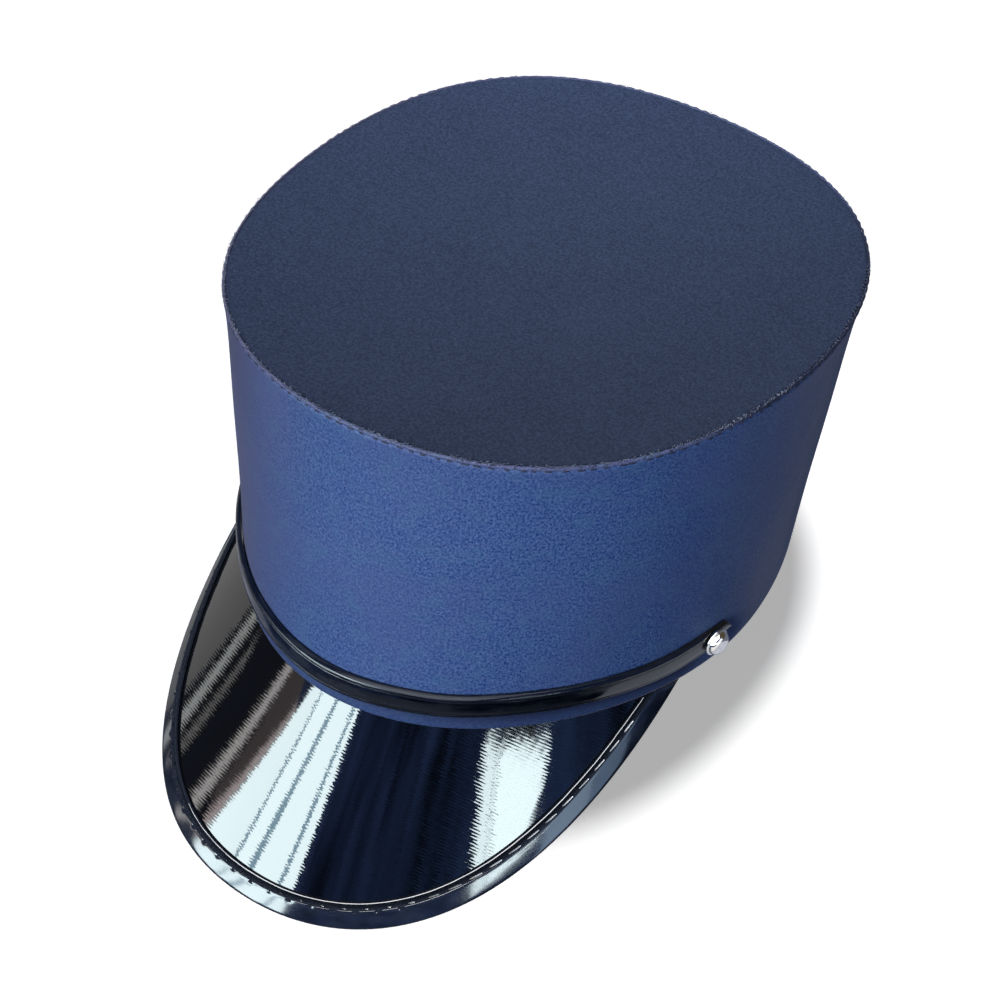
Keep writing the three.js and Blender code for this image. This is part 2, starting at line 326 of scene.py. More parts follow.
def finish_with(piece, kind, **settings):
    """Adds a modifier with its settings and applies it."""
    only(piece)
    modifier = piece.modifiers.new(kind.title(), kind)
    for key, value in settings.items():
        setattr(modifier, key, value)
    bpy.ops.object.modifier_apply(modifier=modifier.name)


def wear(piece, *finishes):
    piece.data.materials.clear()
    for finish in finishes:
        piece.data.materials.append(finish.material)


def second_finish(piece, marked):
    """Gives the faces whose corners are all marked the piece's second finish."""
    for face in piece.data.polygons:
        face.material_index = int(all(marked[corner] for corner in face.vertices))


def hand_over(piece, angle, slot, *nodes):
    """Smooths a piece up to an angle between faces, hangs it on its body and hides its nodes; the slot is not
    used.
    """
    only(piece)
    bpy.ops.object.shade_smooth_by_angle(angle=math.radians(angle))
    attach(piece, "root")
    if nodes:
        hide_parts(*nodes)


def frames(origin, along, up):
    """One matrix for each place, its X along and its Z up."""
    along = unit(along)
    side = unit(np.cross(up, along))
    high = np.cross(along, side)
    made = []
    for o, x, y, z in zip(origin, along, side, high):
        made.append(Matrix.LocRotScale(Vector(o), Matrix((x, y, z)).transposed(), None))
    return made


def sew(model, name, matrices, finish, slot):
    """Copies of a small model, each with its own mesh, joined as one piece."""
    made = []
    for matrix in matrices:
        copy = bpy.data.objects.new(name, model.data.copy())
        copy.data.transform(matrix)
        bpy.context.scene.collection.objects.link(copy)
        made.append(copy)
    only(made[0])
    for copy in made:
        copy.select_set(True)
    bpy.ops.object.join()
    bpy.data.objects.remove(model)
    made[0].name = made[0].data.name = name
    wear(made[0], finish)
    hand_over(made[0], STITCH_SMOOTH, slot)


# Shader maths as Python expressions


class Wire:
    """An output of a node, which takes part in sums and products."""

    def __init__(self, finish, socket):
        self.finish, self.socket = finish, socket

    def math(self, operation, first, second=0.0):
        return self.finish.node("ShaderNodeMath", {"operation": operation}, {0: first, 1: second})

    def __add__(self, other):
        return self.math("ADD", self, other)

    def __sub__(self, other):
        return self.math("SUBTRACT", self, other)

    def __rsub__(self, other):
        return self.math("SUBTRACT", other, self)

    def __mul__(self, other):
        return self.math("MULTIPLY", self, other)

    __radd__, __rmul__ = __add__, __mul__

    def wave(self):
        return self.math("SINE", self)

    def within(self, low, high):
        """0 below low, 1 above high and a smooth step between."""
        inputs = {"Value": self, "From Min": low, "From Max": high}
        return self.finish.node("ShaderNodeMapRange", {"interpolation_type": "SMOOTHSTEP"}, inputs)


class Finish:
    """A material with one surface shader; keyword values stay the same all over it."""

    def __init__(self, name, **even):
        self.material = bpy.data.materials.new(name)
        self.material.use_nodes = True
        self.tree = self.material.node_tree
        self.shader = self.tree.nodes["Principled BSDF"]
        for socket, value in even.items():
            self.shader.inputs[socket.replace("_", " ")].default_value = value

    def node(self, kind, settings, inputs, output=0):
        made = self.tree.nodes.new(kind)
        for key, value in settings.items():
            setattr(made, key, value)
        for key, value in inputs.items():
            self.feed(made.inputs[key], value)
        return Wire(self, made.outputs[output])

    def feed(self, socket, value):
        if isinstance(value, Wire):
            self.tree.links.new(value.socket, socket)
        else:
            socket.default_value = value

    def varies(self, **inputs):
        for socket, value in inputs.items():
            self.feed(self.shader.inputs[socket.replace("_", " ")], value)
        return self

    def place(self, source="Object"):
        return self.node("ShaderNodeTexCoord", {}, {}, source)

    def split(self, vector):
        return [self.node("ShaderNodeSeparateXYZ", {}, {0: vector}, axis) for axis in "XYZ"]

    def noise(self, where, size, detail=2.0, rough=0.5):
        """Cloudy noise whose lumps are about size metres across."""
        inputs = {"Vector": where, "Scale": 1 / size, "Detail": detail, "Roughness": rough}
        return self.node("ShaderNodeTexNoise", {}, inputs)

    def cells(self, where, size):
        """Random values, each even over a small cell about size metres across."""
        colours = self.node("ShaderNodeTexVoronoi", {}, {"Vector": where, "Scale": 1 / size}, "Color")
        return self.split(colours)[0]

    def vector(self, operation, inputs, output=0):
        return self.node("ShaderNodeVectorMath", {"operation": operation}, inputs, output)

    def stretch(self, where, x, y, z):
        return self.vector("MULTIPLY", {0: where, 1: (x, y, z)})

    def mix(self, share, first, second):
        return self.node("ShaderNodeMix", {"data_type": "RGBA"}, {0: share, 6: first, 7: second}, 2)

    def lean(self, normal, amount):
        """A normal that leans by an amount along the map's own X."""
        along = self.node("ShaderNodeTangent", {"direction_type": "UV_MAP"}, {})
        aside = self.vector("SCALE", {0: along, 3: amount})
        return self.vector("NORMALIZE", {0: self.vector("ADD", {0: normal, 1: aside})})

    def bump(self, height, depth, under=None):
        inputs = {"Height": height, "Distance": depth, "Strength": 1.0}
        if under is not None:
            inputs["Normal"] = under
        return self.node("ShaderNodeBump", {}, inputs)


# Tints from dark to light, and those that lie over them
NAVY = (0, 0.03, 0.165, 1), (0.086, 0.148, 0.348, 1), (0.06, 0.09, 0.248, 1)
# The rim's navy, paler than the side's: painted highlight on the rolled rim, which faces up
LIT_RIM_NAVY = (0.012, 0.02, 0.075, 1), (0.16, 0.195, 0.39, 1), (0.105, 0.115, 0.27, 1)
# The top's tints, darker and greyer than the side's navy: partly painted shade
TOP_TONE_AND_SHADE = (0.0025, 0.0105, 0.037, 1), (0.0245, 0.041, 0.092, 1)
# Painted sheen: a paler grey laid over the twill; painted shade: a deep navy laid where shade falls
PAINTED_SHEEN, SHADE = (0.15, 0.125, 0.19, 1), (0.008, 0.013, 0.042, 1)
SIDE_LINT, LID_LINT = (0.3, 0.36, 0.5, 1), (0.12, 0.15, 0.22, 1)
SIDE_SHEEN, LID_SHEEN = (1, 0.94, 0.88, 1), (0.75, 0.82, 1, 1)
GREENER = 0.6, 0.95, 0.78

# Stretches of the girth, from the back round by the right side: where each starts, is full, ebbs and ends
# Painted sheen on the wearer's right side
PAINTED_SHEEN_SIDE = 0.08, 0.2, 0.385, 0.5
# Painted shade high on the wearer's right side
SHADED_UPPER_SIDE = 0.1, 0.25, 0.39, 0.46
# Painted shade below the strap
BELOW_STRAP = 0.262, 0.29, 0.7, 0.737
# Painted shade along the rolled rim on the wearer's left
RIM_SHADE_SIDE = 0.66, 0.72, 0.86, 0.92

# Grain of the cloths
TWILL_PITCH, TWILL_SLANT, WEAVE_PITCH = 0.7 * MM, 0.62, 0.6 * MM
GRAIN_SIZE, SPECK_SIZE, LINT_SIZE = 0.74 * MM, 0.46 * MM, 0.7 * MM
CLOUD_SIZE, WARM_SIZE, GREEN_SIZE = 26 * MM, 30 * MM, 8 * MM
LID_GRAIN_SIZE, LID_CLOUD_SIZE, LID_LINT_SIZE = 0.78 * MM, 18 * MM, 0.8 * MM
MIDDLE, LINT_PEAKS = (0.3, 0.7), (0.72, 0.78)


def girth_band(x, starts, full, ebbs, ends):
    return x.within(starts * GIRTH, full * GIRTH) * (1 - x.within(ebbs * GIRTH, ends * GIRTH))


def side_cloth(name, deep, light, warm, sheen, shaded):
    """Satin twill: fine slanting grain, warmer and greener patches, lint, and painted sheen and shade."""
    made = Finish(
        name, Sheen_Weight=sheen, Sheen_Roughness=0.3, Sheen_Tint=SIDE_SHEEN, Specular_IOR_Level=0.3
    )
    where = made.place("UV")
    x, y, _ = made.split(where)
    squeezed = made.stretch(where, 1, 0.85, 1)
    ribs = ((x + y * TWILL_SLANT) * (math.tau / TWILL_PITCH)).wave() * 0.5 + 0.5
    grain = made.noise(squeezed, GRAIN_SIZE, 1.5, 0.6)
    cloud = made.noise(where, CLOUD_SIZE, 2)
    lint = made.noise(where, LINT_SIZE, 1).within(*LINT_PEAKS)
    specks = made.cells(squeezed, SPECK_SIZE)
    tone = specks * 0.34 + grain.within(*MIDDLE) * 0.66 + ribs * 0.03 + cloud * 0.06 - 0.05
    colour = made.mix(tone, deep, light)
    warmer = made.noise(where, WARM_SIZE, 2).within(0.42, 0.66)
    colour = made.mix(warmer * 0.3, colour, warm)
    greener = made.noise(made.stretch(where, 1, 1, 2), GREEN_SIZE, 1).within(0.5, 0.66)
    colour = made.mix(greener * 0.2, colour, (*np.multiply(light[:3], GREENER).tolist(), 1))
    # Painted sheen: the wearer's right side is mixed towards a paler grey
    colour = made.mix(girth_band(x, *PAINTED_SHEEN_SIDE) * 0.45, colour, PAINTED_SHEEN)
    colour = made.mix(lint * 0.25, colour, SIDE_LINT)
    # Painted shade: the upper half of the wearer's right side is mixed towards the deep navy
    turned = y.within(0.5 * HEIGHT, HEIGHT) * girth_band(x, *SHADED_UPPER_SIDE)
    colour = made.mix(turned * 0.4, colour, SHADE)
    # Painted shade that is passed in: below the strap on the side, along the wearer's left on the rim
    colour = made.mix(shaded(x, y), colour, SHADE)
    made.varies(Base_Color=colour, Roughness=grain * 0.2 + 0.42)
    return made.varies(Normal=made.bump(grain * 0.8 + ribs * 0.2, 0.05 * MM, made.bump(cloud, 0.5 * MM)))


def shaded_foot(x, y):
    """Painted shade: the cloth is darkened below the strap, most of all on the wearer's left."""
    dark = y.within(0.5 * MM, 6 * MM) * 0.4 + x.within(0.54 * GIRTH, 0.62 * GIRTH) * 0.2 + 0.35
    return (1 - y.within(7 * MM, 10 * MM)) * girth_band(x, *BELOW_STRAP) * dark


def shaded_rim_side(x, y):
    """Painted shade: the rolled rim is darkened along the wearer's left side."""
    return girth_band(x, *RIM_SHADE_SIDE) * 0.8


def lid_cloth():
    """Dull cloth of the top with a plain fine weave; its darker, greyer tint is partly painted shade."""
    made = Finish(
        "top_cloth_and_shade", Sheen_Weight=0.05, Sheen_Roughness=0.5, Sheen_Tint=LID_SHEEN, Specular_IOR_Level=0.15
    )
    where = made.place()
    x, y, _ = made.split(where)
    turns = math.tau / WEAVE_PITCH
    weave = (x * turns).wave() * (y * turns).wave() * 0.5 + 0.5
    grain = made.noise(where, LID_GRAIN_SIZE, 1.3, 0.6)
    cloud = made.noise(where, LID_CLOUD_SIZE, 2)
    lint = made.noise(where, LID_LINT_SIZE, 1).within(*LINT_PEAKS)
    colour = made.mix(grain.within(*MIDDLE) * 0.8 + cloud * 0.2, *TOP_TONE_AND_SHADE)
    colour = made.mix(lint * 0.35, colour, LID_LINT)
    made.varies(Base_Color=colour, Roughness=grain * 0.14 + 0.72)
    return made.varies(Normal=made.bump(grain * 0.8 + weave * 0.2, 0.04 * MM))


# Straight rows of the cloth under the peak's patent: directions across and along them, and their pitch
WEFT, WARP = (0.053, 0.7905, 0.6101), (0.9024, 0.2237, -0.3682)
ROW_PITCH, ROW_SHAKE = 0.98 * MM, 0.4 * MM
# The patent's blacks, and the blue of a painted reflection along the weave's rows
PATENT_BLACK, REFLECTED_BLUE = ((0.0012, 0.0022, 0.006, 1), (0.003, 0.005, 0.014, 1)), (0.018, 0.056, 0.105, 1)


def ribbed_patent():
    """Black patent over woven cloth: the rows of the weave lean to and fro and fray the reflections."""
    made = Finish("ribbed_patent", IOR=1.95)
    here, where = made.place(), made.place("UV")
    x, _, _ = made.split(where)
    across = made.vector("DOT_PRODUCT", {0: here, 1: WEFT}, "Value")
    along = made.vector("DOT_PRODUCT", {0: here, 1: WARP}, "Value")
    straight = made.node("ShaderNodeCombineXYZ", {}, {"X": along, "Y": across})
    shaken = made.noise(straight, 2.4 * MM, 1) * ROW_SHAKE
    rows = ((across + shaken) * (math.tau / ROW_PITCH)).wave()
    ragged = made.noise(made.stretch(straight, 0.3, 1, 1), 0.62 * MM, 1)
    patches = made.noise(made.stretch(straight, 0.5, 1, 1), 1.7 * MM, 1)
    left, right = (0 - x).within(5 * MM, 24 * MM), x.within(25 * MM, 42 * MM)
    even = left + right
    clumps = patches.within(*MIDDLE) * (0.9 - even * 0.4) + even * 0.4
    loose = (ragged.within(*MIDDLE) - 0.5) * (1.1 - even * 0.4)
    weave = (rows * clumps + loose) * (left * 0.0105 + right * 0.0065 + 0.0085)
    waves = made.noise(made.stretch(where, 1, 0.22, 1), 6 * MM, 2)
    worn = made.noise(where, 17 * MM, 2)
    colour = made.mix(waves.within(0.35, 0.7), *PATENT_BLACK)
    # Painted reflection: bluish streaks along the rows on the wearer's left
    blue_reflection = (rows * 0.5 + ragged * 1.5 - 0.25).within(0.4, 0.9) * right
    colour = made.mix(blue_reflection * patches.within(0.35, 0.6), colour, REFLECTED_BLUE)
    made.varies(Base_Color=colour, Roughness=worn * 0.04 + 0.02)
    return made.varies(Normal=made.lean(made.bump(waves, 0.025 * MM), weave))


def smooth_patent(name, deep, light, wave, dulled, ior):
    """Smooth black patent of the strap and the binding, a little uneven along its length."""
    made = Finish(name, IOR=ior)
    where = made.place("UV")
    long_waves = made.noise(made.stretch(where, 0.25, 1, 1), 2.2 * MM, 2)
    fine = made.noise(where, 0.5 * MM, 2)
    # Long streaks between the tints; on the strap the lighter ones are partly painted hazy reflection
    colour = made.mix(long_waves.within(*MIDDLE), deep, light)
    made.varies(Base_Color=colour, Roughness=fine * 0.1 + long_waves.within(0.35, 0.65) * dulled + 0.05)
    return made.varies(Normal=made.bump(long_waves, wave))


def dull_lining(name, deep, light, gloss=0.3):
    """A dull finish: the back of a cloth or of the peak's board, and painted shade in creases and grooves."""
    made = Finish(name, Specular_IOR_Level=gloss)
    where = made.place()
    grain = made.noise(where, 0.7 * MM, 3, 0.7)
    colour = made.mix(grain.within(*MIDDLE), deep, light)
    made.varies(Base_Color=colour, Roughness=grain * 0.2 + 0.65)
    return made.varies(Normal=made.bump(grain, 0.06 * MM))


def thread(name, deep, light, rough, ior=1.5):
    """Twisted sewing thread."""
    made = Finish(name, IOR=ior)
    where = made.place()
    twist = made.noise(where, 0.35 * MM, 2)
    patches = made.noise(where, 6 * MM, 1)
    colour = made.mix((twist * 0.4 + patches * 0.6).within(0.35, 0.65), deep, light)
    made.varies(Base_Color=colour, Roughness=twist * 0.2 + rough)
    return made.varies(Normal=made.bump(twist, 0.05 * MM))


def bright_nickel():
    """Nickel plate, rubbed here and there."""
    made = Finish("bright_nickel", Metallic=1.0)
    where = made.place()
    rubbed = made.noise(where, 0.9 * MM, 3)
    colour = made.mix(rubbed.within(*MIDDLE), (0.78, 0.76, 0.71, 1), (0.92, 0.91, 0.88, 1))
    made.varies(Base_Color=colour, Roughness=rubbed * 0.12 + 0.05)
    return made.varies(Normal=made.bump(rubbed, 0.012 * MM))


SIDE_CLOTH = side_cloth("navy_twill", *NAVY, sheen=0.2, shaded=shaded_foot)
RIM_CLOTH = side_cloth("rim_twill", *LIT_RIM_NAVY, sheen=0.12, shaded=shaded_rim_side)
SIDE_BACK = dull_lining("navy_twill_back", (0.012, 0.02, 0.055, 1), (0.022, 0.034, 0.085, 1))
LID_CLOTH = lid_cloth()
# Painted shade: a dark dull finish for the lid's edge in the crease under the rolled rim
CREASE_SHADE = dull_lining("lid_crease_shade", (0.006, 0.009, 0.024, 1), (0.012, 0.018, 0.045, 1))
PEAK_PATENT = ribbed_patent()
PEAK_BACK = dull_lining("peak_underside", (0.006, 0.007, 0.009, 1), (0.013, 0.014, 0.017, 1))
BINDING_BLACK = (0.0015, 0.0025, 0.006, 1), (0.005, 0.007, 0.013, 1)
BINDING_PATENT = smooth_patent("binding_patent", *BINDING_BLACK, wave=0.018 * MM, dulled=0, ior=1.95)
# The strap's black; its lighter bluish patches are a painted hazy reflection
STRAP_BLACK_AND_REFLECTION = (0.004, 0.007, 0.016, 1), (0.014, 0.018, 0.03, 1)
STRAP_PATENT = smooth_patent("strap_patent", *STRAP_BLACK_AND_REFLECTION, wave=0.035 * MM, dulled=0.24, ior=1.72)
# Painted shade: a near-black dull finish for the binding's groove, stitch-hole teeth and shaded lip
BINDING_SHADE = dull_lining("binding_groove_shade", (0.002, 0.003, 0.006, 1), (0.006, 0.008, 0.013, 1), 0.03)
NICKEL = bright_nickel()
SEAM_THREAD = thread("seam_thread", (0.005, 0.008, 0.03, 1), (0.018, 0.026, 0.08, 1), 0.5)
FRAY_THREAD = thread("frayed_thread", (0.06, 0.09, 0.19, 1), (0.34, 0.4, 0.54, 1), 0.55)
BINDING_THREAD = thread("binding_thread", (0.12, 0.13, 0.14, 1), (0.3, 0.32, 0.34, 1), 0.1, 1.7)

# Crown side: one strip round the head, joined at the back
SIDE_TOP, SEAM_LINE, SEAM_PITCH = 0.991, 0.9862, 3.9 * MM
SEAM_COUNT = round(GIRTH / SEAM_PITCH)
SEAM_DIP, SEAM_SPREAD = 0.42 * MM, 0.55 * MM
BACK_SEAM_DIP, BACK_SEAM_SPREAD, BACK_SEAM_END = 0.5 * MM, 0.7 * MM, 2 * MM
SIDE_WAVE, EDGE_DIP, EDGE_SHARE = 0.22 * MM, 0.5 * MM, 0.006
SIDE_COLUMNS = 576
SIDE_ROWS = np.concatenate([
    [0, 0.003, 0.008, 0.016, 0.03],
    np.linspace(0.05, 0.93, 34),
    [0.948, 0.958, 0.966, 0.972, 0.977, 0.981, 0.984, SEAM_LINE, 0.9885, SIDE_TOP],
])


def side_place(t, share):
    """The cloth's own lie on the wall: soft waves, the sunk sewing line, and the turned lower edge."""
    soft = np.clip(share / 0.1, 0, 1) * np.clip((0.99 - share) / 0.08, 0, 1)
    out = SIDE_WAVE * soft * ripple(t * GIRTH / math.tau, share * HEIGHT, SIDE_SEED)
    sewn = hump(np.minimum(share - SEAM_LINE, 0) * HEIGHT, SEAM_SPREAD)
    pull = 0.6 + 0.4 * np.cos(t * SEAM_COUNT)
    out = out - SEAM_DIP * sewn * pull
    out = out - EDGE_DIP * np.clip(1 - share / EDGE_SHARE, 0, 1) ** 2
    return face_point(t, share, out)


def back_seam(at):
    """Presses the upright seam at the back into the outer face, up to a little below the rim."""
    below_rim = np.clip((at[:, 2].max() - BACK_SEAM_END - at[:, 2]) / BACK_SEAM_END, 0, 1)
    at[:, 1] -= BACK_SEAM_DIP * hump(at[:, 0], BACK_SEAM_SPREAD) * (at[:, 1] > 0) * below_rim
    return at


def make_crown_side():
    """A strip wrapped round the head and thickened; only the wall's outer face has the seam."""
    bands = len(SIDE_ROWS) - 1
    piece = panel("crown_side_cloth", SIDE_COLUMNS, bands)
    flat = places(piece)
    row = np.rint((flat[:, 1] + 0.5) * bands).astype(int)
    move_to(piece, side_place(flat[:, 0] * math.tau, SIDE_ROWS[row]))
    map_to(piece, np.stack([(flat[:, 0] + 0.5) * GIRTH, SIDE_ROWS[row] * HEIGHT], 1))
    edit(piece, weld)
    wear(piece, SIDE_CLOTH, SIDE_BACK)
    outer = len(piece.data.vertices)
    finish_with(piece, "SOLIDIFY", thickness=WALL, offset=-1, material_offset=1)
    at = places(piece)
    at[:outer] = back_seam(at[:outer])
    move_to(piece, set_down(at))
    hand_over(piece, 60, "side_cloth", "crown_side")


# Crown top: a flat panel whose edge is sewn under the rolled rim. Depth inwards from the outline, rise
LID_EDGE = np.array([
    (9, 0), (4.5, -0.02), (2.2, -0.04), (1.5, -0.07), (1.15, -0.13), (0.95, -0.22), (0.8, -0.36),
    (0.68, -0.55), (0.6, -0.8), (0.8, -1.1), (1.5, -1.5), (3, -1.7), (9, -1.8),
]) * MM
CREASE_SHADE_IN, LID_FLAT_IN, LID_THICK = 1.1 * MM, 9.3 * MM, 1.8 * MM
LID_WAVE, LID_WAVE_IN = 0.3 * MM, 12 * MM
LID_SPOKES, LID_RINGS = 432, 22
INNER_RING, OUTER_RING = 0.05, 0.95


def make_crown_top():
    """A disc drawn from the middle of the lid's underside, out over its edge and in again on top.

    Its flat rings tell the parts: the underside lies beyond 2, the edge between 2 and 1, the top within 1.
    """
    inner = np.linspace(INNER_RING, OUTER_RING, LID_RINGS)
    edge = np.linspace(2.0, 1.0, len(LID_EDGE) + 2)[1:-1]
    piece = disc("crown_top_cloth", [*(3 - inner), *edge, *inner[::-1]], LID_SPOKES)
    flat = places(piece)
    radius = np.hypot(flat[:, 0], flat[:, 1])
    t = np.arctan2(flat[:, 0], -flat[:, 1])
    outline = outline_point(TOP, t)
    reach = np.linalg.norm(outline, axis=1)
    under, rim = radius > 2.0, (radius > 1.0) & (radius < 2.0)
    step = np.clip((radius - 1) * (len(LID_EDGE) + 1) - 1, 0, len(LID_EDGE) - 1)
    index = np.arange(len(LID_EDGE))
    depth, rise = np.interp(step, index, LID_EDGE[:, 0]), np.interp(step, index, LID_EDGE[:, 1])
    share = np.where(under, 3 - radius, radius) / OUTER_RING
    depth = np.where(rim, depth, reach - share * (reach - LID_FLAT_IN))
    rise = np.where(rim, rise, np.where(under, -LID_THICK, 0))
    at = outline / reach[:, None] * (reach - depth)[:, None]
    inside = np.clip(depth / LID_WAVE_IN, 0, 1)
    at[:, 2] = rise + LID_WAVE * ripple(at[:, 0], at[:, 1], LID_SEED) * inside
    move_to(piece, set_down(lid_place(at)))
    edit(piece, close_ends, face_out)
    wear(piece, LID_CLOTH, CREASE_SHADE)
    # Painted shade on the lid's edge where it tucks under the rolled rim
    second_finish(piece, depth < CREASE_SHADE_IN)
    hand_over(piece, 60, "top_cloth", "crown_top")


# Rolled rim in section: the side cloth turned over the edge. Depth inwards from the outline, rise
ROLL_SECTION = np.array([
    (0.22, -1.3), (0.04, -1.1), (-0.1, -0.85), (-0.15, -0.55), (-0.12, -0.28), (0, -0.06), (0.18, 0.09),
    (0.38, 0.14), (0.56, 0.09), (0.7, -0.04), (0.76, -0.25), (0.65, -0.6), (0.45, -1.0),
]) * MM
ROLL_STATIONS, ROLL_WIDTH = 864, 8 * MM
ROLL_WAVE, ROLL_PUCKER = 0.07 * MM, 0.05 * MM


def make_rim():
    """A narrow strip wrapped round its section; below the edge it follows the wall, above it the lid."""
    piece, along, depth, rise = strip("crown_rim_roll", ROLL_STATIONS, ROLL_SECTION, GIRTH, ROLL_WIDTH)
    t = along * math.tau
    uneven = ROLL_WAVE * ripple(t * 1.3, t * 2.1, RIM_SEED) + ROLL_PUCKER * np.cos(t * SEAM_COUNT)
    rise = rise + uneven * (rise > -0.3 * MM)
    depth = depth - uneven * (rise > -1.0 * MM) * (depth < 0.3 * MM)
    outline = outline_point(TOP, t)
    on_lid = outline - unit(outline) * depth[:, None]
    on_lid[:, 2] = rise
    on_wall = face_point(t, 1 + rise / HEIGHT, -depth)
    share = np.clip((-0.2 * MM - rise) / MM, 0, 1)[:, None]
    move_to(piece, set_down(lid_place(on_lid) * (1 - share) + on_wall * share))
    edit(piece, weld, face_out)
    wear(piece, RIM_CLOTH)
    hand_over(piece, 80, "side_cloth")


# Stitches: how blunt their ends are, and the draws of those on the rim
STITCH_BLUNT = 0.55
OVERCAST_SEED, FRAY_SEED = 33, 21


def capsule(name, length, thick, flat=1.0):
    """One short stitch along X, rounded at both ends."""
    def lie_down():
        bpy.ops.transform.rotate(value=math.pi / 2, orient_axis="Y", center_override=(0, 0, 0))

    made = start(bpy.ops.mesh.primitive_uv_sphere_add, name, segments=8, ring_count=6, radius=1)
    edit(made, lie_down)
    ball = places(made)
    x = np.sign(ball[:, 0]) * np.abs(ball[:, 0]) ** STITCH_BLUNT
    move_to(made, np.stack([x * length / 2, ball[:, 1] * thick / 2, ball[:, 2] * thick * flat / 2], 1))
    return made


def seam_frames(t, share, out):
    """Frames on the crown's face: X round the crown, Z out of it."""
    here = set_down(face_point(t, share, out))
    along = set_down(face_point(t + STEP, share, out)) - set_down(face_point(t - STEP, share, out))
    above = set_down(face_point(t, share, out + MM)) - here
    return frames(here, along, above)


def make_seam_stitches():
    """A row of stitches of uneven length in the sunk sewing line."""
    model = capsule("seam_stitch", 2.4 * MM, 0.56 * MM, 0.8)
    t = (np.arange(SEAM_COUNT) + 0.5) * math.tau / SEAM_COUNT
    t += np.array([random.uniform(-0.2, 0.2) for _ in t]) * math.tau / SEAM_COUNT
    lie = seam_frames(t, SEAM_LINE, -0.05 * MM)
    matrices = [place @ Matrix.Scale(random.uniform(0.45, 1.05), 4, ALONG) for place in lie]
    sew(model, "seam_stitches", matrices, SEAM_THREAD, "side_cloth")


def rim_frames(t, depth, rise):
    """Frames on the rim of the top: X round the crown, Z up."""
    def place(turn):
        flat = outline_point(TOP, turn)
        flat = flat - unit(flat) * np.asarray(depth)[..., None]
        flat[..., 2] = rise
        return set_down(lid_place(flat))

    return frames(place(t), place(t + STEP) - place(t - STEP), np.array([0, 0, 1.0]))


# Stretches of the rim by angle: the one sewn over again, and those with thread ends, with their weights
OVERCAST, OVERCAST_PITCH = (math.radians(62), math.radians(124)), 1.55 * MM
FRAYED = (math.radians(24), math.radians(88)), (math.radians(-60), math.radians(24)), (-math.pi, math.pi)
FRAY_OFTEN, FRAY_COUNT = (4, 7, 3), 840
FRAY_LENGTH, FRAY_RADIUS, FRAY_BEND = 1.3 * MM, 0.15 * MM, 0.3 * MM


def make_overcast_stitches():
    """Close dark stitches across the rim on the wearer's left side, where the edge was sewn over again."""
    model = capsule("overcast_stitch", 1.4 * MM, 0.48 * MM)
    draw = random.Random(OVERCAST_SEED)
    matrices = []
    for t in np.arange(*OVERCAST, OVERCAST_PITCH / TOP["half_width"]):
        at = np.array([t + draw.uniform(-0.003, 0.003)])
        place = rim_frames(at, [draw.uniform(0.2, 1.2) * MM], 0.1 * MM)[0]
        turned = place @ Matrix.Rotation(draw.uniform(0.5, 1.1), 4, "Z")
        matrices.append(turned @ Matrix.Rotation(draw.uniform(-0.2, 0.3), 4, "Y"))
    sew(model, "overcast_stitches", matrices, SEAM_THREAD, "side_cloth")


def make_seam_fray():
    """Pale thread ends along the rim, thick along its frayed length and sparse elsewhere."""
    add = bpy.ops.mesh.primitive_cylinder_add
    model = start(add, "fray", vertices=5, radius=FRAY_RADIUS, depth=FRAY_LENGTH)
    edit(model, bpy.ops.mesh.subdivide)
    straight = places(model)
    along = straight[:, 2] / FRAY_LENGTH
    bent = straight[:, 0] + FRAY_BEND * (1 - 4 * along * along)
    move_to(model, np.stack([straight[:, 2], straight[:, 1], bent], 1))
    edit(model, face_out)
    matrices = []
    draw = random.Random(FRAY_SEED)
    for _ in range(FRAY_COUNT):
        stretch = draw.choices(range(3), FRAY_OFTEN)[0]
        crowded, t = stretch == 0, draw.uniform(*FRAYED[stretch])
        place = rim_frames(np.array([t]), [draw.uniform(-0.2, 0.9) * MM], draw.uniform(0, 0.2) * MM)[0]
        turn = draw.uniform(0.4, 1.3) if crowded else draw.uniform(0, math.pi)
        lean = Matrix.Rotation(turn, 4, "Z") @ Matrix.Rotation(draw.uniform(-0.5, 0.5), 4, "Y")
        matrices.append(place @ lean @ Matrix.Scale(draw.uniform(0.35, 0.9) * (1 if crowded else 0.82), 4))
    sew(model, "seam_fray", matrices, FRAY_THREAD, "side_cloth")


# Peak: a board of straight rulings with a sewing tab inside the crown
TAB_ROWS, BOARD_ROWS, PEAK_COLUMNS = 5, 56, 240
BOARD_IN, TAB_TAPER = 1.4 * MM, 0.06


def make_peak():
    """The panel's upper rows stand up as the tab, the rest run down the rulings to inside the binding."""
    rows = TAB_ROWS + BOARD_ROWS
    piece = panel("peak_board", PEAK_COLUMNS, rows)
    flat = places(piece)
    u = flat[:, 0] * 2 * PEAK_END
    row = np.rint((0.5 - flat[:, 1]) * rows)
    at, s = from_edge(u, BOARD_IN)
    share = np.maximum(row - TAB_ROWS, 0) / BOARD_ROWS
    board = peak_point(at, s * share)
    tall = np.clip((TAB_END - np.abs(u)) / TAB_TAPER, 0.02, 1)
    z = -GAP + (TAB_HEIGHT + GAP) * tall * np.clip((TAB_ROWS - 1 - row) / (TAB_ROWS - 1), 0, 1)
    t = at * PEAK_SPAN
    tab = face_point(t, np.maximum(z, 0) / HEIGHT) - outward(t) * TAB_DEPTH
    tab[:, 2] = z
    move_to(piece, np.where((row < TAB_ROWS)[:, None], tab, board))
    map_to(piece, np.stack([at * 100 * MM, s * share], 1))
    wear(piece, PEAK_PATENT, PEAK_BACK)
    finish_with(piece, "SOLIDIFY", thickness=PEAK_THICK, offset=-1, material_offset=1)
    move_to(piece, set_down(places(piece)))
    hand_over(piece, 50, "patent", "peak")


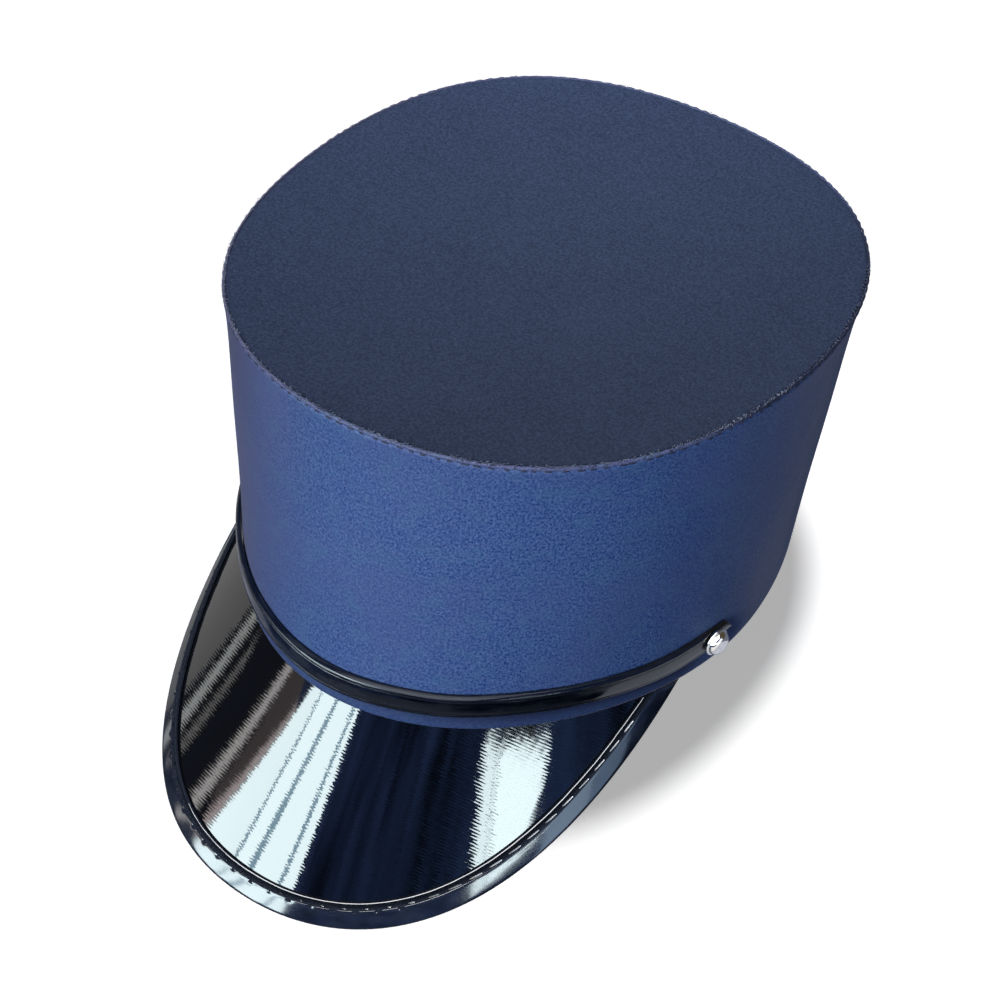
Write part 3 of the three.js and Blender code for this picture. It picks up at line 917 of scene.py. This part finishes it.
# Binding in section, round from its inner edge: distance in from the peak's edge, height above its face
BINDING_SECTION = np.array([
    (8.2, 0.15), (8.25, 0.5), (8.25, 0.85), (8.18, 1.06), (8.04, 1.18), (7.88, 1.18), (7.74, 1.07),
    (7.58, 0.86), (7.3, 0.64), (6.9, 0.45), (6.5, 0.32), (6.25, 0.27), (6.1, 0.3), (6.0, 0.42),
    (5.94, 0.6), (5.9, 0.78), (5.85, 0.9), (5.74, 0.95), (5.55, 0.97), (5.35, 0.98), (5.15, 0.99),
    (4.95, 1.0), (4.7, 1.0), (4.2, 1.0), (3.6, 1.0), (2.4, 0.99), (1.2, 0.97), (0.7, 0.95),
    (0.45, 0.91), (0.22, 0.78), (0.06, 0.5), (0, 0.1), (0, -0.9), (0.08, -1.6), (0.4, -2.15), (1, -2.6),
    (2, -2.75), (4, -2.8), (6.2, -2.8), (7.2, -2.75), (7.2, -1.9), (4, -1.85), (1.3, -1.8), (1.2, -0.8),
    (1.3, 0.1), (4, 0.12), (6.5, 0.12),
]) * MM
BINDING_STATIONS, BINDING_ROUND = 1200, 22 * MM
GROOVE_FROM, GROOVE_TO = 5.7 * MM, 7.6 * MM
LIP_IN, LIP_WIDTH, LIP_BACK, LIP_WAVE = 7.9 * MM, 0.6 * MM, 8.19 * MM, 23 * MM
TOOTH_FROM, TOOTH_END, SHADED_LIP_END = 4.9 * MM, 0.42, -0.24
STITCH_SHOWS, STITCH_SHARES = (0.38, 0.5), (0.25, 1)


def edge_run(count):
    """Places along the peak's edge, close together at its ends, and the length of the edge up to each."""
    u = BINDING_END * np.sin(np.linspace(-1, 1, count) * math.pi / 2)
    line = peak_line(u, peak_reach(u))
    return u, np.concatenate([[0], np.cumsum(np.linalg.norm(np.diff(line, axis=0), axis=1))])


EDGE_U, EDGE_RUN = edge_run(2001)


def make_binding():
    """A strip wrapped round its section, with teeth and a wavy lip beside the stitches; painted shade darkens
    its groove, the teeth at the stitch holes, the lip's back and the lip on the wearer's right.
    """
    piece, along, inward, above = strip(
        "peak_binding_strip", BINDING_STATIONS, BINDING_SECTION, EDGE_RUN[-1], BINDING_ROUND, -1
    )
    run = (along + 0.5) * EDGE_RUN[-1]
    u = np.interp(run, EDGE_RUN, EDGE_U)
    phase = run / STITCH_PITCH * math.tau
    near = hump(inward - STITCH_IN + 0.8 * MM, 0.5 * MM) * (above > 0.3 * MM)
    stitch = np.rint(run / STITCH_PITCH)
    broad = (0.45 + 0.2 * np.sin(stitch * 2.3) + 0.5 * (inward - TOOTH_FROM) / MM) * MM
    tooth = (np.abs(run - stitch * STITCH_PITCH) < broad) & (inward > TOOTH_FROM) & (u < TOOTH_END)
    groove = (inward > GROOVE_FROM) & (inward < GROOVE_TO)
    # Painted shade: the groove, the lip's back, the lip on the wearer's right and the teeth get the
    # near-black dull finish
    shade_bands = groove | (inward > LIP_BACK) | (inward > GROOVE_FROM) & (u < SHADED_LIP_END)
    shaded_faces = (above > 0.1 * MM) & (tooth & (inward < GROOVE_TO) | shade_bands)
    lip = hump(inward - LIP_IN, LIP_WIDTH) * (above > 0.5 * MM)
    above = above - 0.12 * MM * near * (0.5 + 0.5 * np.cos(phase)) ** 6 * (u < TOOTH_END)
    above = above + 0.07 * MM * lip * np.sin(run / LIP_WAVE * math.tau + 1)
    above = above - 0.04 * MM * lip * np.cos(phase)
    at = beside_edge(u, inward, above)
    at[:, 2] = np.minimum(at[:, 2], -GAP)
    move_to(piece, set_down(at))
    wear(piece, BINDING_PATENT, BINDING_SHADE)
    second_finish(piece, shaded_faces)
    edit(piece, weld, close_ends, face_out)
    hand_over(piece, 60, "patent", "peak_binding")


def make_binding_stitches():
    """Long stitches in the groove, which shows them whole only towards the wearer's left."""
    model = capsule("binding_stitch", 4.6 * MM, 0.56 * MM, 0.9)
    run = np.arange(2.5, EDGE_RUN[-1] / STITCH_PITCH - 2) * STITCH_PITCH
    u = np.interp(run, EDGE_RUN, EDGE_U)
    here = set_down(beside_edge(u, STITCH_IN, 0.5 * MM))
    next_u = np.interp(run + MM, EDGE_RUN, EDGE_U)
    ahead = set_down(beside_edge(next_u, STITCH_IN - 0.06 * MM, 0.5 * MM))
    above = set_down(beside_edge(u, STITCH_IN, 1.5 * MM)) - here
    shown = np.interp(u, STITCH_SHOWS, STITCH_SHARES)
    lie = frames(here, ahead - here, above)
    matrices = [place @ Matrix.Scale(share, 4, ALONG) for place, share in zip(lie, shown)]
    sew(model, "binding_stitches", matrices, BINDING_THREAD, "patent")


# Strap in section, from its lower edge over its face to its upper edge: share of the half width, stand off
STRAP_ROUND = np.radians([0, 8, 16, 24, 32, 40, 50, 62, 76, 90])
STRAP_GROOVE = [(0.5, 1.62), (0.54, 1.58), (0.57, 1.5), (0.6, 1.52)]
STRAP_ROLL = [(0.63 + 0.37 * math.sin(turn), 1.6 * math.cos(turn)) for turn in STRAP_ROUND]
STRAP_UPPER = [(0, 1.68), (0.26, 1.66), *STRAP_GROOVE, *STRAP_ROLL]
STRAP_SECTION = np.array([*((-share, out) for share, out in STRAP_UPPER[:0:-1]), *STRAP_UPPER])
STRAP_COLUMNS, STRAP_LENGTH, STRAP_WRAP = 400, 2 * STRAP_END * 88 * MM, 22 * MM
TONGUE_LESS, TONGUE_RISE = 0.55, 0.45


def make_strap():
    """A strip wrapped round its section, whose rounded ends narrow to a tongue past each button."""
    piece, along, share, out = strip(
        "chin_strap_patent", STRAP_COLUMNS, STRAP_SECTION, STRAP_LENGTH, STRAP_WRAP
    )
    t = np.sin(along * math.pi) * STRAP_END
    from_end = (STRAP_END - np.abs(t)) * BASE["half_width"]
    rounding = np.sqrt(np.maximum(1 - np.clip(1 - from_end / STRAP_HALF, 0, 1) ** 2, STRAP_BLUNT))
    narrow = eased(np.clip(1 - from_end / STRAP_TONGUE, 0, 1))
    up = STRAP_HALF * rounding * (share * (1 - TONGUE_LESS * narrow) + TONGUE_RISE * narrow)
    move_to(piece, set_down(strap_point(t, up, STRAP_OFF + out * MM)))
    edit(piece, weld, close_ends, face_out)
    wear(piece, STRAP_PATENT)
    hand_over(piece, 60, "patent", "chin_strap")


# Button in section, from the end of its post to the top of its dome: distance from its axis, height
BUTTON_SECTION = np.array([
    (1.5, -6.2), (1.5, -3), (1.5, -0.1), (4.1, -0.05), (4.25, 0), (4.5, 0.25), (4.6, 0.55), (4.55, 0.85),
    (4.35, 1.06), (4.1, 1.1), (3.96, 1.2), (3.9, 1.55), (3.75, 1.95), (3.45, 2.4), (3.0, 2.8), (2.4, 3.1),
    (1.7, 3.28), (0.9, 3.38), (0.35, 3.4),
]) * MM
BUTTON_SPOKES = 48


def make_button(side, name, node):
    """A disc whose rings take up the section in turn, about an axis that stands out from the crown."""
    count = len(BUTTON_SECTION)
    piece = disc(name, list(np.arange(count, 0, -1.0)), BUTTON_SPOKES)
    flat = places(piece)
    radius = np.hypot(flat[:, 0], flat[:, 1])
    row = np.clip(count - np.rint(radius), 0, count - 1).astype(int)
    turn = np.arctan2(flat[:, 1], flat[:, 0])
    across = np.where(radius < 0.5, 0, BUTTON_SECTION[row, 0])
    t = np.array(side * BUTTON_ANGLE)
    seat, out = strap_point(t, 0 * t, BUTTON_SEAT), outward(t)
    level = np.cross([0, 0, 1], out)
    at = across * np.cos(turn) * level[:, None] + across * np.sin(turn) * np.array([0, 0, 1])[:, None]
    at = at.T + BUTTON_SECTION[row, 1][:, None] * out + seat
    move_to(piece, set_down(at))
    edit(piece, close_ends, face_out)
    wear(piece, NICKEL)
    hand_over(piece, 40, "nickel", node)


make_crown_side()
make_crown_top()
make_rim()
make_seam_stitches()
make_overcast_stitches()
make_seam_fray()
make_peak()
make_binding()
make_binding_stitches()
make_strap()
make_button(1, "button_left_dome", "button_left")
make_button(-1, "button_right_dome", "button_right")

# Camera at the photograph's viewing angle: place and axes in the resting frame
EYE = (0.35171, -0.35923, 0.68491)
RIGHT, UP, BACK = (0.79485, 0.59951, -0.09379), (-0.42742, 0.66286, 0.61476), (0.43072, -0.44856, 0.78312)
SENSOR, LENS = 36, 93.6

camera = bpy.data.cameras.new("camera")
camera.sensor_width, camera.lens, camera.clip_start = SENSOR, LENS, 0.01
view = bpy.data.objects.new("camera", camera)
view.matrix_world = Matrix.LocRotScale(Vector(EYE), Matrix((RIGHT, UP, BACK)).transposed(), None)
bpy.context.scene.collection.objects.link(view)
bpy.context.scene.camera = view

# Studio: a pale floor, soft lights, and cards that the polished pieces mirror
AIM = Vector((0, -0.05, 0.05))
CARD_DISTANCE = 1.6
BLACK, WHITE = (0, 0, 0, 1), (1, 1, 1, 1)


def towards(azimuth, elevation):
    """A direction from the cap; azimuth from the front towards the wearer's left."""
    az, el = math.radians(azimuth), math.radians(elevation)
    return Vector((math.sin(az) * math.cos(el), -math.cos(az) * math.cos(el), math.sin(el)))


def group(name, *pieces):
    """A set of pieces that a light falls on."""
    made = bpy.data.collections.new(name)
    for piece in pieces:
        made.objects.link(bpy.data.objects[piece])
    return made


def soft_light(name, falls_on, azimuth, elevation, distance, width, height, radiance, tint=(1, 1, 1)):
    direction = towards(azimuth, elevation)
    lamp = bpy.data.lights.new(name, "AREA")
    lamp.shape, lamp.size, lamp.size_y = "RECTANGLE", width, height
    lamp.energy, lamp.color = radiance * math.pi * width * height, tint
    made = bpy.data.objects.new(name, lamp)
    made.location = AIM + direction * distance
    made.rotation_euler = direction.to_track_quat("Z", "Y").to_euler()
    made.light_linking.receiver_collection = falls_on
    bpy.context.scene.collection.objects.link(made)


def glowing(name, colour, brightness):
    """A finish that glows and mirrors nothing."""
    return Finish(
        name, Base_Color=BLACK, Specular_IOR_Level=0, Emission_Color=colour, Emission_Strength=brightness
    )


def card(name, corners, brightness, tint=(1, 1, 1), distance=CARD_DISTANCE, fades=None):
    """A glowing card, seen only in reflections. Corners: lower left and right, upper left and right."""
    made = glowing(name, (*tint, 1), brightness)
    if fades:
        x, _, _ = made.split(made.place("UV"))
        glow = x.within(0, fades[0]) * (1 - x.within(1 - fades[1], 1))
        made.varies(Emission_Color=made.mix(glow, BLACK, (*tint, 1)))
    piece = panel(name, 1, 1)
    move_to(piece, [AIM + towards(*corner) * distance for corner in corners])
    wear(piece, made)
    piece.visible_camera = piece.visible_diffuse = piece.visible_shadow = False


SIDE = group("side", "crown_side_cloth", "crown_rim_roll", "seam_stitches")
LID = group("lid", "crown_top_cloth", "overcast_stitches", "seam_fray")
DOMES = "button_left_dome", "button_right_dome"
METAL = group("metal", *DOMES)
POLISHED = group("polished", "peak_board", "peak_binding_strip", "chin_strap_patent", *DOMES)
BINDING = group("binding", "peak_binding_strip")
STITCHES = group("stitches", "binding_stitches")
STRAP = group("strap", "chin_strap_patent")
SHINY = group("shiny", "chin_strap_patent", *DOMES)
soft_light("front_light", SIDE, 9, 37, 1.4, 0.8, 0.8, 10.3)
soft_light("back_light", SIDE, -160, 50, 1.4, 0.6, 0.6, 5.5)
soft_light("right_fill", SIDE, 90, 20, 1.5, 1, 1, 1.2, (0.6, 0.78, 1))
soft_light("top_light", LID, -160, 47, 0.45, 0.35, 0.35, 5.8)
soft_light("ceiling", POLISHED, 0, 88, 1.5, 1.3, 1.3, 0.8)
soft_light("binding_ceiling", BINDING, 0, 88, 1.2, 1.9, 1.9, 10)
soft_light("binding_side", BINDING, 77, 9, 1.3, 0.26, 0.36, 1.9, (0.6, 0.8, 1))
soft_light("binding_far_side", BINDING, 87.5, 3, 1.3, 0.2, 0.4, 1.1, (0.5, 0.72, 1))
soft_light("stitch_light", STITCHES, 121, 18, 1.2, 0.6, 0.6, 60)
soft_light("strap_light", STRAP, 12, 48, 1.2, 1.2, 1, 1.3, (0.8, 0.9, 1))
soft_light("strap_end_light", STRAP, -98, -48, 0.8, 0.8, 0.6, 0.35)
soft_light("button_glow", METAL, 20, 40, 1, 1.2, 1, 2.6, (1, 0.98, 0.92))
soft_light("button_top", METAL, 60, 82, 0.9, 1.5, 1.5, 2.2, (1, 0.98, 0.92))
soft_light("button_side", METAL, 92, 8, 1.1, 0.9, 0.45, 1.5, (1, 0.98, 0.95))

SKY = (0.81, 0.965, 1)
WARM = (1, 0.86, 0.86)
card("pane_1", [(-52.6, 6), (-40.45, 6), (-33.9, 26), (-31.25, 26)], 8.4, SKY, fades=(0.22, 0.01))
card("pane_2", [(-38.4, 8), (-36.15, 8), (-26.4, 34), (-17.95, 34)], 9, SKY)
card("pane_3", [(-31.6, 12), (-19.2, 12), (-13.4, 38), (-8.8, 38)], 9, SKY)
card("pane_4", [(-16.2, 16), (-8.3, 16), (-8.6, 36), (-8.3, 36)], 9, SKY)
card("pane_5", [(54.8, 15), (57.4, 15), (52.8, 23.1), (57.4, 20.7)], 8.5, SKY)
card("pane_6", [(57.8, 15), (71.4, 12.5), (57.8, 20.6), (71.4, 13.2)], 9.8, SKY)
card("mullions", [(-46, 6), (-12, 16), (-32.6, 26), (-8.5, 36)], 3, (0.5, 0.8, 1), 1.95)
card("dark_wall", [(-92, -24), (-57, -8), (-80, 6), (-46, 20)], 0.06, (0.6, 0.7, 1), 1.95)
card("dark_side", [(118, -25), (188, -25), (118, 50), (188, 50)], 0.08, (1, 0.85, 0.5))
card("door_gap", [(-63.9, -2), (-59.9, -2), (-53.1, 16), (-49.2, 16)], 2.3, (1, 0.97, 0.96), fades=(0.5, 0.5))
card("door", [(-55.5, 7), (-53.9, 7), (-47.5, 20), (-41.3, 20)], 0.3, WARM)
card("door_edge", [(-54.2, 7), (-51, 7), (-41.8, 20), (-38.8, 20)], 2.4, WARM, 1.63, (0.6, 0.01))
card("rail", [(-81.6, -16), (-76.9, -16), (-79.9, -4), (-75.6, -4)], 1.3, (0.96, 1, 1), fades=(0.4, 0.4))
card("thin_rail", [(-76, -11), (-72.6, -11), (-73, -1), (-69.8, -1)], 0.6, fades=(0.5, 0.5))
card("grey_wall", [(-135, -40), (-87, -28), (-125, 20), (-80, -4)], 0.4)


FLOOR_SIZE, FLOOR_GREYS = 14, ((0.93, 0.93, 0.93, 1), (0.95, 0.95, 0.95, 1))


def pale_floor():
    """A wide white floor that only the camera sees."""
    made = Finish(
        "pale_floor", Roughness=0.8, Specular_IOR_Level=0.1, Emission_Color=WHITE, Emission_Strength=0.418
    )
    patches = made.noise(made.place(), 0.4).within(0, 1)
    made.varies(Base_Color=made.mix(patches, *FLOOR_GREYS))
    floor = start(bpy.ops.mesh.primitive_plane_add, "floor", size=FLOOR_SIZE)
    wear(floor, made)
    floor.visible_glossy = floor.visible_diffuse = floor.visible_shadow = False


def floor_light():
    """The light that whitens the floor and casts the short shadow on it."""
    lamp = bpy.data.lights.new("floor_light", "SUN")
    lamp.energy, lamp.angle = 2.2, 0.1
    made = bpy.data.objects.new("floor_light", lamp)
    made.rotation_euler = towards(-178, 73).to_track_quat("Z", "Y").to_euler()
    shading = group("shading", "crown_side_cloth", "crown_top_cloth", "crown_rim_roll")
    made.light_linking.receiver_collection = group("ground", "floor")
    made.light_linking.blocker_collection = shading
    bpy.context.scene.collection.objects.link(made)


def table(name, low, high, colour, falls_on=None):
    """A glowing flat patch just under the floor, which the pieces mirror in place of the bright floor."""
    patch = panel(name, 1, 1)
    move_to(patch, (places(patch) + 0.5) * (np.array(high) - low) + low)
    wear(patch, glowing(name, colour, 1))
    patch.visible_camera = patch.visible_shadow = False
    patch.light_linking.receiver_collection = falls_on


pale_floor()
floor_light()
table("grey_table", (-0.06, -0.28, -0.002), (0.3, 0.28, -0.002), (0.15, 0.17, 0.22, 1))
table("bright_table", (0.088, -1, -0.001), (1.6, 0.036, -0.001), (0.95, 0.94, 0.93, 1), METAL)
table("near_table", (0.088, -0.045, -0.0006), (0.24, 0.036, -0.0006), (0.56, 0.59, 0.7, 1), SHINY)


def dark_room():
    """The dim blue surroundings, which only the polished pieces mirror."""
    world = bpy.data.worlds.new("dark_room")
    world.use_nodes = True
    nodes, links = world.node_tree.nodes, world.node_tree.links
    clouds = nodes.new("ShaderNodeTexNoise")
    for socket, value in dict(Scale=7, Detail=3, Roughness=0.65).items():
        clouds.inputs[socket].default_value = value
    shades = nodes.new("ShaderNodeValToRGB")
    dark, light = shades.color_ramp.elements
    dark.position, dark.color = 0.38, (0.014, 0.022, 0.045, 1)
    light.position, light.color = 0.66, (0.085, 0.15, 0.4, 1)
    links.new(nodes.new("ShaderNodeTexCoord").outputs["Generated"], clouds.inputs["Vector"])
    links.new(clouds.outputs["Fac"], shades.inputs["Fac"])
    links.new(shades.outputs["Color"], nodes["Background"].inputs["Color"])
    world.cycles_visibility.diffuse = False
    bpy.context.scene.world = world


dark_room()
bpy.context.scene.view_settings.view_transform = "Standard"
